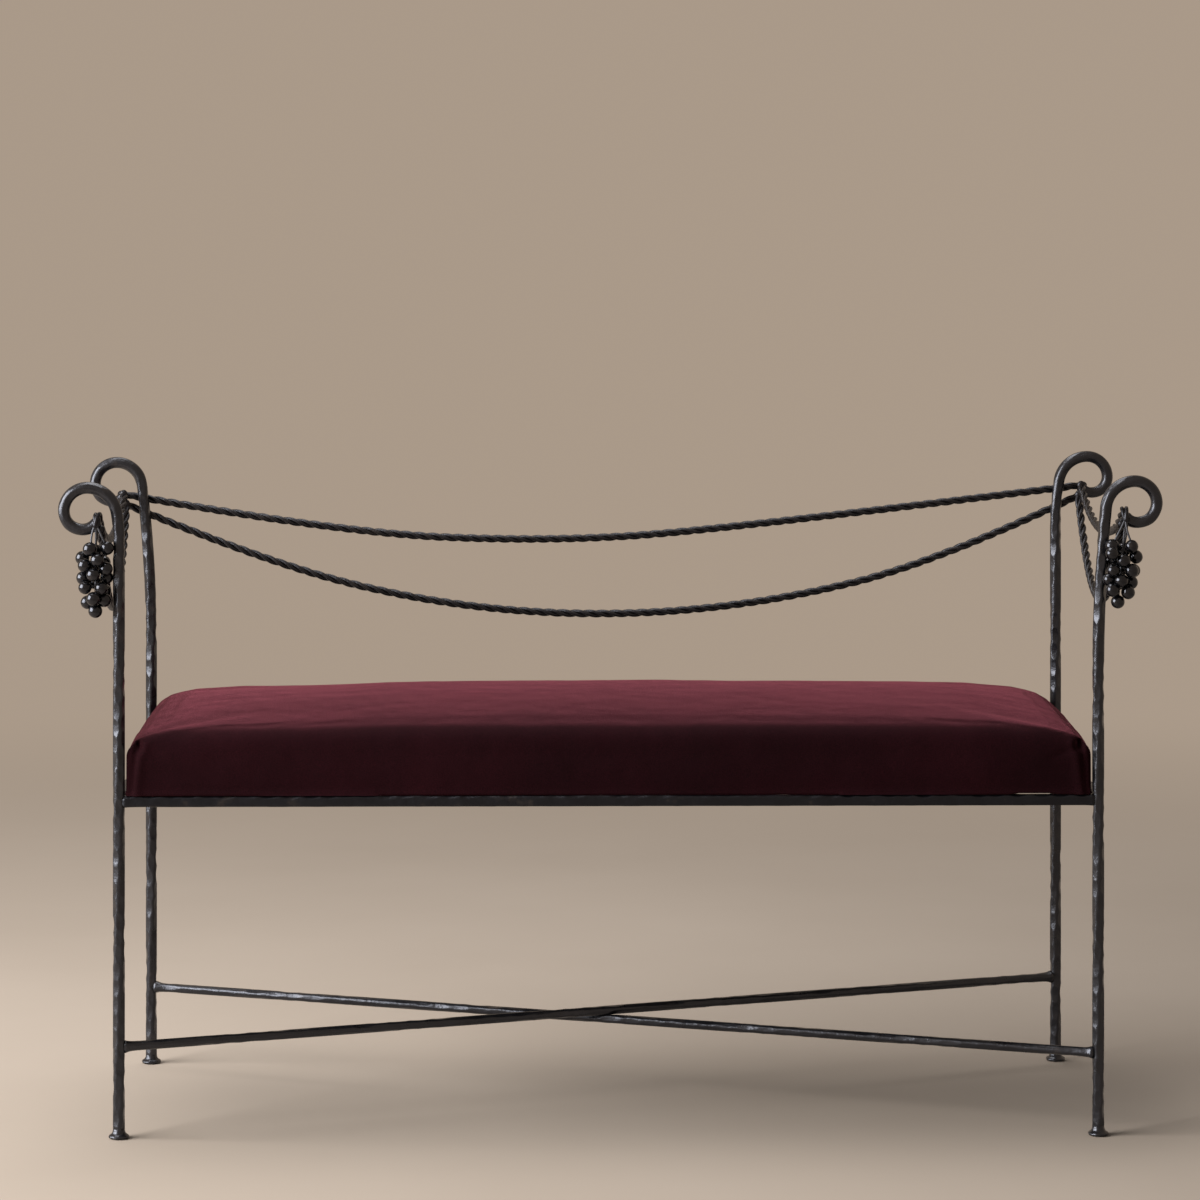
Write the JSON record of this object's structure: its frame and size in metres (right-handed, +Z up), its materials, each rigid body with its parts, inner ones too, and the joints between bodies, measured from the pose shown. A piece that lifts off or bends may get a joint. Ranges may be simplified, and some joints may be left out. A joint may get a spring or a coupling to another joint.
{
  "type": "upholstered bench",
  "caption": "Backless accent bench: forged iron posts with scrolled tops, crossed stretchers, twisted iron swags at the back and ends, grape bunches and a crowned velvet seat pad.",
  "frame": {"origin": "middle of the footprint, on the floor", "axes": "+X along the bench to the sitter's left, which is the right of somebody who faces its front; -Y is the front; +Z up"},
  "size_m": [1.2241, 0.4348, 0.7286],
  "materials": {
    "iron": "hammered by hand, black, satin",
    "velvet": "wine-red velvet",
    "foam": "open-cell foam, hidden",
    "board": "bare plywood, hidden",
    "dust_cloth": "black woven lining",
    "screw_steel": "zinc-plated"
  },
  "bodies": {
    "root": {"post_front_left": "iron", "post_front_right": "iron", "post_back_left": "iron", "post_back_right": "iron", "foot_front_left": "iron", "foot_front_right": "iron", "foot_back_left": "iron", "foot_back_right": "iron", "front_rail": "iron", "back_rail": "iron", "left_rail": "iron", "right_rail": "iron", "stretcher_under": "iron", "stretcher_over": "iron", "back_swag_upper": "iron", "back_swag_lower": "iron", "left_swag_upper": "iron", "left_swag_lower": "iron", "right_swag_upper": "iron", "right_swag_lower": "iron", "left_grape_berries": "iron", "left_grape_stems": "iron", "right_grape_berries": "iron", "right_grape_stems": "iron", "seat_tab_front_left": "iron", "seat_tab_front_right": "iron", "seat_tab_back_left": "iron", "seat_tab_back_right": "iron", "seat_board": "board", "dust_cover": "dust_cloth", "seat_foam": "foam", "seat_cover": "velvet", "seat_screws": "screw_steel"}
  },
  "joints": []
}
